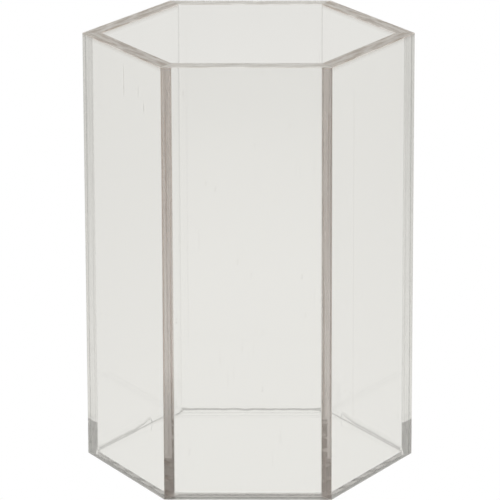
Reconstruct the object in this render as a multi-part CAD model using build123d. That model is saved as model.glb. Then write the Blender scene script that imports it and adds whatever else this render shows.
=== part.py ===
from build123d import *
from math import cos, radians, sin, tan
import os

# Clear acrylic hexagonal barrel, open at the top.
#
# Six flat wall panels stand in a ring, their long edges mitred and cemented to each other. A thin
# hexagonal floor sheet is let in between their feet, level with their lower ends, and its edges are
# cemented to them. A bead of thick cement seals every inside corner and the inside foot of every wall.
#
# Units are millimetres. The origin is the centre of the underside and +Z points up through the open
# rim. One wall faces -Y, and two of the hexagon's corners lie on the X axis.

# Driving dimensions
across_corners = 120.0
barrel_height = 160.0
wall_thickness = 6.0
floor_thickness = 1.2
film_thickness = 0.15
floor_bead_leg = 0.7
corner_bead_leg = 0.6

# The way each wall faces, and the way each corner points, in degrees from +X
wall_facing = {
    "front": 270.0,
    "front_right": 330.0,
    "back_right": 30.0,
    "back": 90.0,
    "back_left": 150.0,
    "front_left": 210.0,
}
corner_facing = {
    "front_right_to_front": 300.0,
    "back_right_to_front_right": 0.0,
    "back_to_back_right": 60.0,
    "back_left_to_back": 120.0,
    "front_left_to_back_left": 180.0,
    "front_to_front_left": 240.0,
}

# Sizes that follow from the driving dimensions
mitre_angle = radians(30.0)  # from a wall's outward direction to the mitred face at its edge
face_angle = radians(60.0)  # from a corner's outward direction to the wall faces that meet there
outer_radius = across_corners / 2
outer_apothem = outer_radius * cos(mitre_angle)
inner_apothem = outer_apothem - wall_thickness
inner_radius = inner_apothem / cos(mitre_angle)
half_film = film_thickness / 2
film_setback = half_film / tan(face_angle)
floor_apothem = inner_apothem - film_thickness
bead_top = floor_thickness + floor_bead_leg


def upright(face, bottom, top):
    """The solid that a flat outline makes when it stands from one height to another."""
    return Pos(0, 0, bottom) * extrude(face, amount=top - bottom)


def turned(shape, facing):
    """The shape turned from +X to the way that it faces on the barrel."""
    return Rot(0, 0, facing) * shape


def outline(*points):
    """A flat face with straight sides."""
    return make_face(Polyline(*points, close=True))


def wall_plan():
    """A wall seen from above, facing +X: wider outside, with half a film's clearance at each mitre."""
    clearance = half_film / cos(mitre_angle)
    outer_half = outer_apothem * tan(mitre_angle) - clearance
    inner_half = inner_apothem * tan(mitre_angle) - clearance
    return outline(
        (inner_apothem, -inner_half),
        (outer_apothem, -outer_half),
        (outer_apothem, outer_half),
        (inner_apothem, inner_half),
    )


def wall():
    """One wall panel, as tall as the barrel."""
    return upright(wall_plan(), 0, barrel_height)


def floor_seam():
    """The film of cement between an edge of the floor and the wall, mitred at both ends."""
    floor_half = floor_apothem * tan(mitre_angle)
    wall_half = inner_apothem * tan(mitre_angle)
    plan = outline(
        (floor_apothem, -floor_half),
        (inner_apothem, -wall_half),
        (inner_apothem, wall_half),
        (floor_apothem, floor_half),
    )
    return upright(plan, 0, floor_thickness)


def floor_bead():
    """The bead along a wall's inside foot, mitred where it meets the next wall's bead."""
    section = outline(
        (inner_apothem - floor_bead_leg, 0, floor_thickness),
        (inner_apothem, 0, floor_thickness),
        (inner_apothem, 0, bead_top),
    )
    run = extrude(section, amount=inner_radius, both=True)
    edge = outer_radius * tan(mitre_angle)
    sector = outline((0, 0), (outer_radius, -edge), (outer_radius, edge))
    return run & upright(sector, 0, barrel_height)


def corner_film():
    """The film of cement between two mitred edges, notched to follow the inside of the corner."""
    outer_end = outer_radius - film_setback
    inner_end = inner_radius - film_setback
    plan = outline(
        (inner_radius, 0),
        (inner_end, -half_film),
        (outer_end, -half_film),
        (outer_end, half_film),
        (inner_end, half_film),
    )
    return upright(plan, 0, barrel_height)


def corner_bead():
    """The bead up an inside corner, from the top of the floor beads to the rim."""
    face_end = inner_radius - corner_bead_leg * cos(face_angle)
    half_width = corner_bead_leg * sin(face_angle)
    plan = outline((inner_radius, 0), (face_end, half_width), (face_end, -half_width))
    return upright(plan, bead_top, barrel_height)


def floor():
    """The floor sheet, cut to fit inside the ring of walls."""
    floor_radius = floor_apothem / cos(mitre_angle)
    return extrude(RegularPolygon(floor_radius, len(wall_facing)), amount=floor_thickness)


pieces = {"floor": floor()}
for side, facing in wall_facing.items():
    pieces["wall_" + side] = turned(wall(), facing)
    pieces["floor_seam_" + side] = turned(floor_seam(), facing)
    pieces["floor_bead_" + side] = turned(floor_bead(), facing)
for corner, facing in corner_facing.items():
    pieces["corner_seam_" + corner] = turned(corner_film(), facing)
    pieces["corner_bead_" + corner] = turned(corner_bead(), facing)

os.makedirs("parts", exist_ok=True)
for name, shape in pieces.items():
    export_step(shape, "parts/" + name + ".step")
    print(name, round(shape.volume, 2))
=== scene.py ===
from math import atan2, cos, degrees, exp, pi, radians, sin, tan

import bmesh
import bpy
from mathutils import Matrix, Vector, noise


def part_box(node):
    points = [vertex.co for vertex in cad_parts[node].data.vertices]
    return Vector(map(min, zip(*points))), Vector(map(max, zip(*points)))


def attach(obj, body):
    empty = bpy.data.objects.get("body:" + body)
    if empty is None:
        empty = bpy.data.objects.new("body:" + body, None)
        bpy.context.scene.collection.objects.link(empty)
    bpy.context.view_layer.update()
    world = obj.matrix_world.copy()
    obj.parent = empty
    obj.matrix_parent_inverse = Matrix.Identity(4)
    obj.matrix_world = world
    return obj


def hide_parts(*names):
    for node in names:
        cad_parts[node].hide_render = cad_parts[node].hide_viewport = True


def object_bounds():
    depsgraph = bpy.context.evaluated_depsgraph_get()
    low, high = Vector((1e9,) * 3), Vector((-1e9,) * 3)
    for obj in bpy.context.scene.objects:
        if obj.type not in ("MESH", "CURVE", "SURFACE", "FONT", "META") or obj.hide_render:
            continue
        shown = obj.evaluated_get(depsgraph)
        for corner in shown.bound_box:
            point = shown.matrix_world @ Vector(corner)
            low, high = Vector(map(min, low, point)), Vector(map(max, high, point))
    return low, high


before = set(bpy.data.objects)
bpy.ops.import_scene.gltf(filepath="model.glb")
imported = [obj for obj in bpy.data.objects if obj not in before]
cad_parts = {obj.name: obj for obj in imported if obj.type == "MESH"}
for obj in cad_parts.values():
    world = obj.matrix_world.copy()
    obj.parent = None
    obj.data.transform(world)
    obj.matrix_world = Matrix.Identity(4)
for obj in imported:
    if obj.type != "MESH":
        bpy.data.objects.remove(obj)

cad_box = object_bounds()

# ---------------------------------------------------------------------------------------------------
# Sizes, all read from the CAD nodes, in metres
# ---------------------------------------------------------------------------------------------------
SIDES = ("front", "front_right", "back_right", "back", "back_left", "front_left")
CORNERS = (
    "front_right_to_front",
    "back_right_to_front_right",
    "back_to_back_right",
    "back_left_to_back",
    "front_left_to_back_left",
    "front_to_front_left",
)
MITRE = radians(30.0)
FACE = radians(60.0)

wall_low, wall_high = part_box("wall_back")
seam_low, seam_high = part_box("corner_seam_back_right_to_front_right")
floor_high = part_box("floor")[1]
foot_bead_low, foot_bead_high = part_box("floor_bead_back")
upright_bead_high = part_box("corner_bead_back_right_to_front_right")[1]

OUTER_RADIUS = cad_box[1].x
OUTER_APOTHEM = wall_high.y
INNER_APOTHEM = wall_low.y
INNER_RADIUS = INNER_APOTHEM / cos(MITRE)
RIM = wall_high.z
FLOOR_TOP = floor_high.z
FLOOR_RADIUS = floor_high.x
FLOOR_APOTHEM = floor_high.y
FILM = seam_high.y - seam_low.y
FOOT_BEAD_LEG = foot_bead_high.z - foot_bead_low.z
UPRIGHT_BEAD_HALF = upright_bead_high.y
MITRE_CLEARANCE = FILM / 2 / cos(MITRE)
HAIR = FILM / 8  # the air left between a sheet and the cement on it, so that their faces don't share a plane


def facing(node):
    """The angle about +Z at which a node lies from the barrel's axis: a multiple of 30 degrees."""
    low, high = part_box(node)
    middle = (low + high) / 2
    return radians(30 * round(degrees(atan2(middle.y, middle.x)) / 30))


# ---------------------------------------------------------------------------------------------------
# Materials
# ---------------------------------------------------------------------------------------------------
ACRYLIC_INDEX = 1.49
WHITE = (1, 1, 1, 1)
SMOKED = (0.985, 0.985, 0.978)  # the sheet's own faint colour
WORN_AND_SHADED = (0.66, 0.62, 0.58)  # the sheet's colour where it is scuffed, and its painted shade just below the slanted walls' rims
SPECKS_PER_METRE = 28.0
SCUFFING = 0.3  # how strongly scuffs and specks show
RIM_SHADE_AND_DULLING_DEPTH = 0.002  # how far below the rim the painted shade reaches, and the polish is duller
SOFT_END = 0.001  # how far a scratch fades in at each end
SHADE_FULL, SHADE_GONE = 0.03, 0.05  # the heights where the painted shade at a seam's foot starts to fade, and where it ends
STREAK_HALF_WIDTH = 0.0006  # of the streak that stands out in a side seam
BEAD_COVER = 0.9  # how much of a bead's skin shows, and isn't lost in the sheet


class Tree:
    """A new material's node tree, with short ways to add and join nodes."""

    def __init__(self, name):
        self.material = bpy.data.materials.new(name)
        self.material.use_nodes = True
        self.nodes = self.material.node_tree.nodes
        self.links = self.material.node_tree.links
        self.nodes.clear()
        self.place = self.nodes.new("ShaderNodeTexCoord").outputs["Object"]

    def add(self, kind, **values):
        """A node, with values for its named inputs: a plain value, or an output to link."""
        node = self.nodes.new(kind)
        for name, value in values.items():
            socket = node.inputs[name.replace("_", " ")]
            if isinstance(value, bpy.types.NodeSocket):
                self.links.new(value, socket)
            else:
                socket.default_value = value
        return node

    def stretched(self, x, y, z):
        """The object's coordinates scaled by these numbers, for a pattern that runs one way."""
        mapping = self.add("ShaderNodeMapping", Vector=self.place, Scale=(x, y, z))
        return mapping.outputs["Vector"]

    def clouds(self, vector, scale, detail, rough):
        """Noise from 0 to 1."""
        node = self.add("ShaderNodeTexNoise", Vector=vector, Scale=scale, Detail=detail, Roughness=rough)
        return node.outputs["Fac"]

    def ranged(self, value, low, high, to_low, to_high):
        """The value moved from one range to another, and held inside it."""
        node = self.nodes.new("ShaderNodeMapRange")
        self.links.new(value, node.inputs["Value"])
        for name, number in zip(("From Min", "From Max", "To Min", "To Max"), (low, high, to_low, to_high)):
            node.inputs[name].default_value = number
        return node.outputs["Result"]

    def maths(self, operation, first, second):
        """The sum, product or other result of two outputs or numbers."""
        node = self.nodes.new("ShaderNodeMath")
        node.operation = operation
        for value, socket in zip((first, second), node.inputs):
            if isinstance(value, bpy.types.NodeSocket):
                self.links.new(value, socket)
            else:
                socket.default_value = value
        return node.outputs["Value"]

    def blended(self, share, first, second):
        """A colour between two, by a share from 0 to 1."""
        ramp = self.add("ShaderNodeValToRGB", Fac=share)
        for element, colour in zip(ramp.color_ramp.elements, (first, second)):
            element.color = (*colour, 1)
        return ramp.outputs["Color"]

    def bump(self, height, strength, distance):
        """A normal that leans with the height."""
        node = self.add("ShaderNodeBump", Height=height, Strength=strength, Distance=distance)
        return node.outputs["Normal"]

    def done(self, surface):
        """Shows the surface, and gives the material."""
        out = self.nodes.new("ShaderNodeOutputMaterial")
        self.links.new(surface, out.inputs["Surface"])
        return self.material


def scratch(t, across, low, high, half_width, depth):
    """How strongly an upright scratch on a wall's outer face shows, from 0 to its depth."""
    place = t.add("ShaderNodeSeparateXYZ", Vector=t.place)
    aside = t.maths("ABSOLUTE", t.maths("SUBTRACT", place.outputs["Y"], across), 0.0)
    on_line = t.ranged(aside, 0.0, half_width, depth, 0.0)
    above = t.ranged(place.outputs["Z"], low - SOFT_END, low + SOFT_END, 0.0, 1.0)
    below = t.ranged(place.outputs["Z"], high - SOFT_END, high + SOFT_END, 1.0, 0.0)
    outside = t.ranged(place.outputs["X"], INNER_APOTHEM + SOFT_END, OUTER_APOTHEM - SOFT_END, 0.0, 1.0)
    ends = t.maths("MULTIPLY", above, below)
    return t.maths("MULTIPLY", t.maths("MULTIPLY", on_line, outside), ends)


def clear_acrylic(name, seed, rim_shade_and_dulling, scratches):
    """Polished cast sheet: clear, slightly smoked, scuffed and specked, and duller just below the rim, where
    its colour is darkened with painted shade.
    """
    t = Tree(name)
    place = t.add("ShaderNodeSeparateXYZ", Vector=t.place)
    smears = t.clouds(t.stretched(60, 60, 18), 1.0, 5.0, 0.6)
    hairlines = t.clouds(t.stretched(900, 900, 70), 1.0, 3.0, 0.6)
    patches = t.clouds(t.place, 45.0, 2.0, 0.5)
    scuffed = t.ranged(patches, 0.56, 0.68, 0.0, SCUFFING)
    scuffs = t.maths("MULTIPLY", t.ranged(hairlines, 0.62, 0.74, 0.0, 1.0), scuffed)
    across = t.maths("ADD", place.outputs["Y"], 0.31 * seed)
    flat = t.add("ShaderNodeCombineXYZ", X=across, Y=place.outputs["Z"])
    cells = t.add("ShaderNodeTexVoronoi", Vector=flat.outputs["Vector"], Scale=SPECKS_PER_METRE)
    cells.voronoi_dimensions = "2D"
    specks = t.ranged(cells.outputs["Distance"], 0.004, 0.013, SCUFFING, 0.0)
    marks = t.maths("MAXIMUM", specks, scuffs)
    for lie in scratches:
        marks = t.maths("MAXIMUM", marks, scratch(t, *lie))
    # Painted shade just below the rim: the colour is darkened there, and the polish is made rougher
    near_rim = t.ranged(place.outputs["Z"], RIM - RIM_SHADE_AND_DULLING_DEPTH, RIM, 0.0, rim_shade_and_dulling)
    smeared = t.ranged(smears, 0.4, 0.8, 0.0, 0.03)
    sheet = t.add(
        "ShaderNodeBsdfPrincipled",
        Base_Color=t.blended(t.maths("MAXIMUM", near_rim, marks), SMOKED, WORN_AND_SHADED),
        Roughness=t.maths("ADD", smeared, t.ranged(near_rim, 0.0, 1.0, 0.0, 0.2)),
        IOR=ACRYLIC_INDEX,
        Transmission_Weight=t.ranged(marks, 0.0, 1.0, 1.0, 0.8),
    )
    return t.done(sheet.outputs["BSDF"])


def sawn_acrylic(name, dark, light, transmission, rough):
    """A sawn, unpolished edge of the sheet, with saw marks that run along it."""
    t = Tree(name)
    marks = t.clouds(t.stretched(1400, 90, 1400), 1.0, 3.0, 0.6)
    clouds = t.clouds(t.stretched(600, 90, 600), 1.0, 3.0, 0.55)
    sawn = t.add(
        "ShaderNodeBsdfPrincipled",
        Base_Color=t.blended(t.ranged(clouds, 0.38, 0.62, 0.0, 1.0), dark, light),
        Roughness=rough,
        IOR=ACRYLIC_INDEX,
        Transmission_Weight=transmission,
        Normal=t.bump(marks, 0.3, 0.0002),
    )
    return t.done(sawn.outputs["BSDF"])


def bonded_face():
    """A face that cement joins to the next piece without a break, so light passes straight on."""
    t = Tree("bonded_face")
    clear = t.add("ShaderNodeBsdfTransparent", Color=WHITE)
    return t.done(clear.outputs["BSDF"])


def cement_film(name, tint, haze, colour, foot_shade=0.0, line=None):
    """Solvent cement in a sawn joint: some light passes, and the rest scatters in haze and upright streaks.

    Its foot may be darkened with painted shade, and one streak may stand out, at a distance from the barrel's
    axis.
    """
    t = Tree(name)
    place = t.add("ShaderNodeSeparateXYZ", Vector=t.place)
    bubbles = t.clouds(t.stretched(160, 160, 40), 1.0, 5.0, 0.65)
    streaks = t.clouds(t.stretched(900, 0, 9), 1.0, 3.0, 0.6)
    cloudy = t.maths("ADD", t.ranged(bubbles, 0.3, 0.7, 0.4, 0.9), t.ranged(streaks, 0.35, 0.65, -0.2, 0.9))
    if line:
        aside = t.maths("ABSOLUTE", t.maths("SUBTRACT", place.outputs["X"], line), 0.0)
        cloudy = t.maths("ADD", cloudy, t.ranged(aside, 0.0, STREAK_HALF_WIDTH, 3.0, 0.0))
    through, scattered = (*tint, 1), (*colour, 1)
    # Painted shade: the film's passing and scattered colours are darkened towards its foot
    if foot_shade:
        painted_foot_shade = t.ranged(place.outputs["Z"], SHADE_FULL, SHADE_GONE, foot_shade, 0.0)
        through = t.blended(painted_foot_shade, tint, [0.8 * share for share in tint])
        scattered = t.blended(painted_foot_shade, colour, [0.6 * share for share in colour])
    clear = t.add("ShaderNodeBsdfTransparent", Color=through)
    milk = t.add("ShaderNodeBsdfDiffuse", Color=scattered)
    mix = t.add("ShaderNodeMixShader", Fac=t.maths("MULTIPLY", cloudy, haze))
    t.links.new(clear.outputs["BSDF"], mix.inputs[1])
    t.links.new(milk.outputs["BSDF"], mix.inputs[2])
    return t.done(mix.outputs["Shader"])


def cement_bead(name, colour, transmission):
    """A run of solvent cement, set almost as clear as the sheet, so that little more than its skin shows."""
    t = Tree(name)
    ripples = t.clouds(t.place, 300.0, 2.0, 0.5)
    skin = t.add(
        "ShaderNodeBsdfPrincipled",
        Base_Color=colour,
        Roughness=0.12,
        IOR=ACRYLIC_INDEX,
        Transmission_Weight=transmission,
        Normal=t.bump(ripples, 0.1, 0.0002),
    )
    clear = t.add("ShaderNodeBsdfTransparent", Color=WHITE)
    mix = t.add("ShaderNodeMixShader", Fac=BEAD_COVER)
    t.links.new(clear.outputs["BSDF"], mix.inputs[1])
    t.links.new(skin.outputs["BSDF"], mix.inputs[2])
    return t.done(mix.outputs["Shader"])


SCRATCHES = {  # place across the wall, low end, high end, half width, depth
    "front_left": (
        (0.002, RIM - 0.016, RIM - 0.006, 0.0004, 0.8),
        (0.013, RIM - 0.014, RIM - 0.011, 0.0006, 0.5),
        (0.017, RIM - 0.019, RIM - 0.016, 0.0005, 0.7),
    ),
    "front_right": ((-0.0145, 0.020, RIM - 0.012, 0.0005, 0.15),),
}
RIM_SHADE_AND_DULLING = {"front": 0.0, "back": 0.0}  # how strongly a wall's rim is darkened with painted shade and made duller; the slanted walls are at 1.0
CLEAR_FLOOR = clear_acrylic("clear_acrylic_floor", 9, 0.0, ())
CLEAR_WALLS = {
    side: clear_acrylic("clear_acrylic_" + side, seed, RIM_SHADE_AND_DULLING.get(side, 1.0), SCRATCHES.get(side, ()))
    for seed, side in enumerate(SIDES)
}
# Sawn ends: the colour of their dark and light streaks, how much light they pass, and how rough they are
RIM_SAWN = sawn_acrylic("rim_sawn", (0.5, 0.40, 0.32), (0.98, 0.91, 0.85), 0.75, 0.3)
# A lighter copy of the rim's sawn colour, for the front and back walls: painted light, where their rims catch
# more light
RIM_SAWN_LIT = sawn_acrylic("rim_sawn_lit", (0.70, 0.66, 0.61), (1.0, 0.98, 0.95), 0.6, 0.3)
FOOT_SAWN = sawn_acrylic("foot_sawn", (0.34, 0.33, 0.31), (0.46, 0.45, 0.43), 0.5, 0.4)
# A lighter copy of the foot's sawn colour, for the slanted walls
FOOT_SAWN_LIGHTER = sawn_acrylic("foot_sawn_lighter", (0.40, 0.39, 0.37), (0.52, 0.51, 0.49), 0.5, 0.4)
BONDED = bonded_face()
# Films: what colour passes, how hazy they are, what colour scatters, and how strongly painted shade darkens
# the foot
LINE = OUTER_RADIUS - 0.002  # where a streak stands out in the side seams
SIDE_FILM = cement_film("side_film", (0.99, 0.988, 0.985), 0.08, (0.64, 0.655, 0.62), line=LINE)
BACK_FILM = cement_film("back_film", (0.997, 0.996, 0.994), 0.018, (0.72, 0.71, 0.70))
FRONT_FILM = cement_film("front_film", (0.98, 0.962, 0.952), 0.25, (0.78, 0.635, 0.54), 0.62)
FRONT_RIGHT_FILM = cement_film("front_right_film", (0.976, 0.958, 0.946), 0.27, (0.66, 0.545, 0.488), 0.16)
FOOT_FILM = cement_film("foot_film", (0.97, 0.965, 0.96), 0.2, (0.66, 0.65, 0.63))
SLANTED_FOOT_FILM = cement_film("slanted_foot_film", (0.97, 0.965, 0.96), 0.3, (0.53, 0.52, 0.5))
BACK_FOOT_FILM = cement_film("back_foot_film", (0.995, 0.994, 0.992), 0.02, (0.7, 0.69, 0.67))
# Beads: their colour, and how much light they pass
CLEAR_BEAD = cement_bead("clear_bead", (0.86, 0.855, 0.84, 1), 1.0)
CLEAREST_BEAD = cement_bead("clearest_bead", (0.985, 0.98, 0.97, 1), 1.0)
BACK_BEAD = cement_bead("back_bead", (0.6, 0.595, 0.58, 1), 0.65)
SLANTED_BACK_BEAD = cement_bead("slanted_back_bead", (0.88, 0.875, 0.86, 1), 0.92)


# ---------------------------------------------------------------------------------------------------
# Meshes
# ---------------------------------------------------------------------------------------------------
def piece(name, mesh_maker, materials, node, angle):
    """A new piece in a node's place: made facing +X, and turned to its side of the barrel."""
    bm = bmesh.new()
    mesh_maker(bm)
    bmesh.ops.recalc_face_normals(bm, faces=bm.faces)
    mesh = bpy.data.meshes.new(name)
    bm.to_mesh(mesh)
    bm.free()
    for material in materials:
        mesh.materials.append(material)
    made = bpy.data.objects.new(name, mesh)
    made.matrix_world = Matrix.Rotation(angle, 4, "Z")
    bpy.context.scene.collection.objects.link(made)
    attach(made, "root")
    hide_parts(node)


def loop_of(bm, points):
    """New vertices at these points."""
    return [bm.verts.new(p) for p in points]


def band(bm, first, second, slots, smooth=False):
    """Joins two closed loops of vertices with quads, one for each step round the loop."""
    count = len(first)
    for i in range(count):
        j = (i + 1) % count
        face = bm.faces.new((first[i], first[j], second[j], second[i]))
        face.material_index = slots[i]
        face.smooth = smooth


def cap(bm, loop, slot):
    """Closes a loop with one flat face."""
    face = bm.faces.new(loop)
    face.material_index = slot


EDGE = 0.0003  # how far the rim's sharp edges are eased
WETTED = 0.0012  # how far cement from the floor's edge has crept under a wall and cleared its sawn end
POLISHED = 0.0008  # how wide the polished margin is at the outer edge of the back wall's foot
CLEAR_SLOT, SAWN_SLOT, BONDED_SLOT, FOOT_SLOT = 0, 1, 2, 3


def wall_mesh(polished):
    """A wall sheet facing +X: clear faces, sawn ends, an eased rim, and bonded mitres and floor joint."""
    turn = [radians(30 * i) for i in range(4)]
    rounding = [(EDGE * (1 - cos(a)), EDGE * (1 - sin(a))) for a in turn]
    profile = [(INNER_APOTHEM, 0.0), (INNER_APOTHEM, FLOOR_TOP)]
    profile += [(INNER_APOTHEM + inward, RIM - down) for inward, down in rounding]
    profile += [(OUTER_APOTHEM - inward, RIM - down) for inward, down in reversed(rounding)]
    profile += [(x, 0.0) for x in (OUTER_APOTHEM, OUTER_APOTHEM - POLISHED, INNER_APOTHEM + WETTED)]
    margin = CLEAR_SLOT if polished else FOOT_SLOT
    slots = [BONDED_SLOT, CLEAR_SLOT] + [SAWN_SLOT] * 7 + [CLEAR_SLOT, margin, FOOT_SLOT, CLEAR_SLOT]

    def make(bm):
        ends = []
        for hand in (-1, 1):
            points = [(x, hand * (x * tan(MITRE) - MITRE_CLEARANCE - HAIR), z) for x, z in profile]
            ends.append(loop_of(bm, points))
        band(bm, ends[0], ends[1], slots)
        cap(bm, ends[0], BONDED_SLOT)
        cap(bm, ends[1], BONDED_SLOT)

    return make


def film_mesh(bm):
    """The cement in a mitre, facing +X: a thin upright blade."""
    half = FILM / 2 - HAIR
    outer = OUTER_RADIUS - FILM / 2 / tan(FACE)
    inner = INNER_RADIUS - FILM / 2 / tan(FACE)
    plan = [(inner, -half), (outer, -half), (outer, half), (inner, half)]
    low = loop_of(bm, [(x, y, 0.0) for x, y in plan])
    high = loop_of(bm, [(x, y, RIM) for x, y in plan])
    band(bm, low, high, [0] * 4)
    cap(bm, low, 2)
    cap(bm, high, 1)


def foot_film_mesh(bm):
    """The cement between the floor's edge and a wall, facing +X: an upright strip with a clear top."""
    near, far = FLOOR_APOTHEM + HAIR, INNER_APOTHEM - HAIR
    plan = [(x, hand * (x * tan(MITRE) - HAIR)) for x, hand in ((near, -1), (far, -1), (far, 1), (near, 1))]
    low = loop_of(bm, [(x, y, 0.0) for x, y in plan])
    high = loop_of(bm, [(x, y, FLOOR_TOP - HAIR) for x, y in plan])
    band(bm, low, high, [0] * 4)
    cap(bm, low, 0)
    cap(bm, high, 1)


def hexagon(radius, z):
    """The corners of a level hexagon, with one corner on +X."""
    return [(radius * cos(radians(60 * i)), radius * sin(radians(60 * i)), z) for i in range(6)]


def floor_mesh(bm):
    """The floor sheet: polished above and below, and bonded to the walls round its edge."""
    under = loop_of(bm, hexagon(FLOOR_RADIUS, 0.0))
    top = loop_of(bm, hexagon(FLOOR_RADIUS, FLOOR_TOP))
    cap(bm, under, 0)
    band(bm, under, top, [1] * 6)
    cap(bm, top, 0)


BEAD_STEPS = 120  # sections along a bead
BEAD_ARC = 6  # steps round its hollow face
FRONT_BEAD_SIZE = 0.15  # the size of a foot bead, as a share of the CAD bead's leg
BACK_BEAD_SIZES = {"back": 0.8, "back_left": 0.9, "back_right": 0.9}
CLIMB = {"back": 0.0010, "back_left": 0.0009, "back_right": 0.0010}  # how far it has crept up the wall
CREEP = {  # where it ran out: which end of the bead, how far along, how far out, and how much more it climbs
    "back_left": (-1, 0.0155, 0.0014, 0.0016),
    "back_right": (1, 0.0090, 0.0026, 0.0015),
}
CREEP_LENGTH = 0.006  # over what length the extra climb dies away along the wall
CREEP_STEP = 0.001  # over what length it starts
END_SWELL, END_LENGTH = 0.0003, 0.002  # how much fuller a bead is at its ends, and for how long


def bead_leg(t, side, seed, half_run):
    """How far a foot bead reaches, at a share t from -1 to 1 of its run: uneven, and fuller at its ends."""
    wander = noise.noise(Vector((t * 9.0, seed * 7.3, 0.0)))
    from_end = (1 - abs(t)) * half_run
    leg = FOOT_BEAD_LEG * BACK_BEAD_SIZES.get(side, FRONT_BEAD_SIZE)
    return leg * (1 + 0.25 * wander) + END_SWELL * exp(-((from_end / END_LENGTH) ** 2))


def bead_creep(t, side, seed, half_run):
    """How far a foot bead has run out over the floor, and how far it has crept up the wall."""
    climbed = CLIMB.get(side, 0.0) * (1 + 0.3 * noise.noise(Vector((t * 6.0, seed * 3.7, 5.0))))
    if side not in CREEP:
        return 0.0, climbed
    end, notch, reach, climb = CREEP[side]
    from_corner = (1 - end * t) * half_run
    if from_corner < notch:
        return reach * sin(pi * from_corner / notch), climbed * max(0.0, 1 - from_corner / END_LENGTH)
    past = from_corner - notch
    rise = min(1.0, past / CREEP_STEP)
    return 0.0, rise * (climbed + climb * exp(-((past / CREEP_LENGTH) ** 2)))


def bead_body(bm, loops, last_slot):
    """Joins sections of a bead, each of two bonded backs and a hollow skin, and closes its ends."""
    slots = [1] + [0] * (len(loops[0]) - 2) + [1]
    for a, b in zip(loops, loops[1:]):
        band(bm, a, b, slots, smooth=True)
    cap(bm, loops[0], 1)
    cap(bm, loops[-1], last_slot)


def foot_bead_mesh(side, seed):
    """The run of cement along a wall's inside foot, facing +X, with a hollow face and full ends."""

    def make(bm):
        loops = []
        half_run = INNER_APOTHEM * tan(MITRE)
        for i in range(BEAD_STEPS + 1):
            t = 2 * i / BEAD_STEPS - 1
            leg = bead_leg(t, side, seed, half_run)
            out, up = bead_creep(t, side, seed, half_run)
            back, under = INNER_APOTHEM - HAIR - out, FLOOR_TOP + HAIR + up
            section = [(back, under)]
            for k in range(BEAD_ARC + 1):
                a = radians(90) * k / BEAD_ARC
                section.append((back - leg * (1 - sin(a)), under + leg * (1 - cos(a))))
            loops.append(loop_of(bm, [(x, t * x * tan(MITRE), z) for x, z in section]))
        bead_body(bm, loops, 1)

    return make


def upright_bead_mesh(share, seed):
    """The run of cement up an inside corner, facing +X: hollow-faced, a share of the CAD bead's width."""

    def make(bm):
        corner = INNER_RADIUS - HAIR
        bottom = FLOOR_TOP + FOOT_BEAD_LEG
        loops = []
        for i in range(BEAD_STEPS + 1):
            z = bottom + (RIM - EDGE - bottom) * i / BEAD_STEPS
            half = UPRIGHT_BEAD_HALF * share * (1 + 0.15 * noise.noise(Vector((z * 60, seed * 5.1, 3.0))))
            deep = half / tan(FACE)
            section = [(corner, 0.0)]
            for k in range(BEAD_ARC + 1):
                s = 2 * k / BEAD_ARC - 1
                section.append((corner - deep * (0.7 + 0.3 * s * s), -half * s))
            loops.append(loop_of(bm, [(x, y, z) for x, y in section]))
        bead_body(bm, loops, 0)

    return make


# The front and back walls take the rim's sawn colour with painted light
ACROSS_SHEET = [RIM_SAWN_LIT, BONDED, FOOT_SAWN]
SLANTED_SHEET = [RIM_SAWN, BONDED, FOOT_SAWN_LIGHTER]
BY_SIDE = {  # each side's sawn ends, foot film and foot bead
    "front": (ACROSS_SHEET, FOOT_FILM, CLEAR_BEAD),
    "front_right": (SLANTED_SHEET, SLANTED_FOOT_FILM, CLEAR_BEAD),
    "back_right": (SLANTED_SHEET, BACK_FOOT_FILM, SLANTED_BACK_BEAD),
    "back": (ACROSS_SHEET, BACK_FOOT_FILM, BACK_BEAD),
    "back_left": (SLANTED_SHEET, BACK_FOOT_FILM, SLANTED_BACK_BEAD),
    "front_left": (SLANTED_SHEET, SLANTED_FOOT_FILM, CLEAR_BEAD),
}
for number, side in enumerate(SIDES):
    wall, seam, bead = "wall_" + side, "floor_seam_" + side, "floor_bead_" + side
    angle = facing(wall)
    sawn_ends, foot_film, foot_bead = BY_SIDE[side]
    sheet_materials = [CLEAR_WALLS[side]] + sawn_ends
    piece("sheet_" + side, wall_mesh(side == "back"), sheet_materials, wall, angle)
    piece("foot_film_" + side, foot_film_mesh, [foot_film, CLEAR_FLOOR], seam, angle)
    piece("foot_bead_" + side, foot_bead_mesh(side, number), [foot_bead, BONDED], bead, angle)
for number, corner in enumerate(CORNERS):
    seam, bead = "corner_seam_" + corner, "corner_bead_" + corner
    angle = facing(seam)
    film = (BACK_FILM, SIDE_FILM, FRONT_FILM)[1 - round(sin(angle))]  # for a corner behind, aside or in front
    if corner == "front_right_to_front":
        film = FRONT_RIGHT_FILM
    piece("film_" + corner, film_mesh, [film, RIM_SAWN, FOOT_SAWN], seam, angle)
    share, skin = (0.15, CLEAREST_BEAD) if film is BACK_FILM else (0.35, CLEAR_BEAD)
    piece("bead_" + corner, upright_bead_mesh(share, number), [skin, BONDED], bead, angle)
piece("floor_sheet", floor_mesh, [CLEAR_FLOOR, BONDED], "floor", 0.0)

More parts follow.
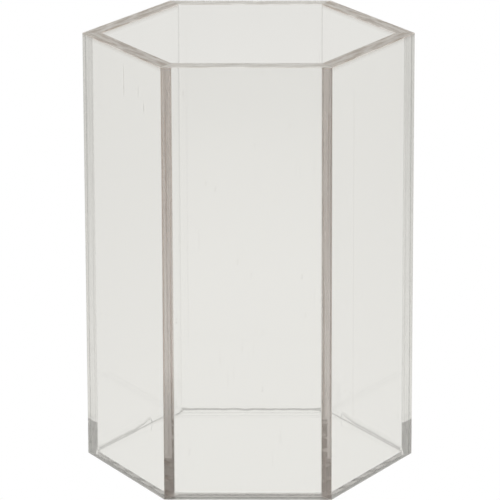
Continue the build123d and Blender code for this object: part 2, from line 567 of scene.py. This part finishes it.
# ---------------------------------------------------------------------------------------------------
# Stage: a pale table, soft studio light and the camera
# ---------------------------------------------------------------------------------------------------
HALF_TABLE = 6.0
TABLE_GAP = 0.0002  # how far the table lies below the barrel's foot
TABLE_TONE = (0.82, 0.812, 0.787, 1)
STUDIO_TONE = (0.83, 0.825, 0.80, 1)
IN_FRONT = (-0.62, -0.33, 0.42, 1.0)  # between these Ys the pool brightens, from 0.42 to 1
ASIDE = (0.02, 0.4, 1.0, 0.86)  # between these distances from the Y axis it dims, from 1 to 0.86
FAR = (0.6, 2.5, 0.0, 1.0)  # between these squared distances the pool ends
FAR_STRENGTH = 1.012  # what brings the far table to the studio's tone
table_mesh = bpy.data.meshes.new("table")
signs = ((-1, -1), (1, -1), (1, 1), (-1, 1))
table_corners = [(HALF_TABLE * x, HALF_TABLE * y, -TABLE_GAP) for x, y in signs]
table_mesh.from_pydata(table_corners, [], [(0, 1, 2, 3)])
table = bpy.data.objects.new("table", table_mesh)
bpy.context.scene.collection.objects.link(table)


def table_material():
    """White where it is seen directly. Through the clear walls it glows as a pale grey pool of painted light,
    dimmest in front.
    """
    t = Tree("pale_table")
    path = t.nodes.new("ShaderNodeLightPath")
    white = t.add("ShaderNodeEmission", Color=WHITE, Strength=1.0)
    place = t.add("ShaderNodeSeparateXYZ", Vector=t.place)
    x, y = place.outputs["X"], place.outputs["Y"]
    near = t.maths("MULTIPLY", t.ranged(y, *IN_FRONT), t.ranged(t.maths("ABSOLUTE", x, 0.0), *ASIDE))
    square = t.maths("ADD", t.maths("MULTIPLY", x, x), t.maths("MULTIPLY", y, y))
    far = t.ranged(square, *FAR)
    fade = t.maths("ADD", near, t.maths("MULTIPLY", far, t.maths("SUBTRACT", FAR_STRENGTH, near)))
    pale = t.add("ShaderNodeEmission", Color=TABLE_TONE, Strength=fade)
    mix = t.nodes.new("ShaderNodeMixShader")
    t.links.new(path.outputs["Is Camera Ray"], mix.inputs["Fac"])
    t.links.new(pale.outputs["Emission"], mix.inputs[1])
    t.links.new(white.outputs["Emission"], mix.inputs[2])
    return t.done(mix.outputs["Shader"])


table_mesh.materials.append(table_material())

world = bpy.data.worlds.new("studio")
bpy.context.scene.world = world
world.use_nodes = True
world_nodes, world_links = world.node_tree.nodes, world.node_tree.links
background = world_nodes["Background"]
background.inputs["Color"].default_value = STUDIO_TONE
background.inputs["Strength"].default_value = 1.0
white_background = world_nodes.new("ShaderNodeBackground")
white_background.inputs["Color"].default_value = WHITE
world_path = world_nodes.new("ShaderNodeLightPath")
world_mix = world_nodes.new("ShaderNodeMixShader")
world_links.new(world_path.outputs["Is Camera Ray"], world_mix.inputs["Fac"])
world_links.new(background.outputs["Background"], world_mix.inputs[1])
world_links.new(white_background.outputs["Background"], world_mix.inputs[2])
world_links.new(world_mix.outputs["Shader"], world_nodes["World Output"].inputs["Surface"])

CAMERA_DISTANCE = 1.56
CAMERA_ELEVATION = radians(16.26)
CAMERA_AZIMUTH = radians(0.83)
CAMERA_ROLL = radians(-0.18)
CAMERA_ASIDE = 0.0003
CAMERA_LENS = 306.9
AIM_HEIGHT = 0.4897 * RIM
camera_data = bpy.data.cameras.new("camera")
camera_data.sensor_width = 36.0
camera_data.lens = CAMERA_LENS
camera_data.clip_start = 0.1
camera_data.clip_end = 50.0
camera = bpy.data.objects.new("camera", camera_data)
bpy.context.scene.collection.objects.link(camera)
back = Vector((
    sin(CAMERA_AZIMUTH) * cos(CAMERA_ELEVATION),
    -cos(CAMERA_AZIMUTH) * cos(CAMERA_ELEVATION),
    sin(CAMERA_ELEVATION),
))
camera.location = Vector((CAMERA_ASIDE, 0, AIM_HEIGHT)) + back * CAMERA_DISTANCE
look = (-back).to_track_quat("-Z", "Y").to_matrix().to_4x4()
camera.matrix_world = Matrix.Translation(camera.location) @ look @ Matrix.Rotation(CAMERA_ROLL, 4, "Z")
bpy.context.scene.camera = camera

# Light that the sheet guides to its sawn ends turns back and forth many times on the way.
BOUNCES = 128
scene = bpy.context.scene
scene.view_settings.view_transform = "Standard"
scene.cycles.max_bounces = BOUNCES
scene.cycles.transmission_bounces = BOUNCES
scene.cycles.transparent_max_bounces = 2 * BOUNCES
scene.cycles.glossy_bounces = BOUNCES
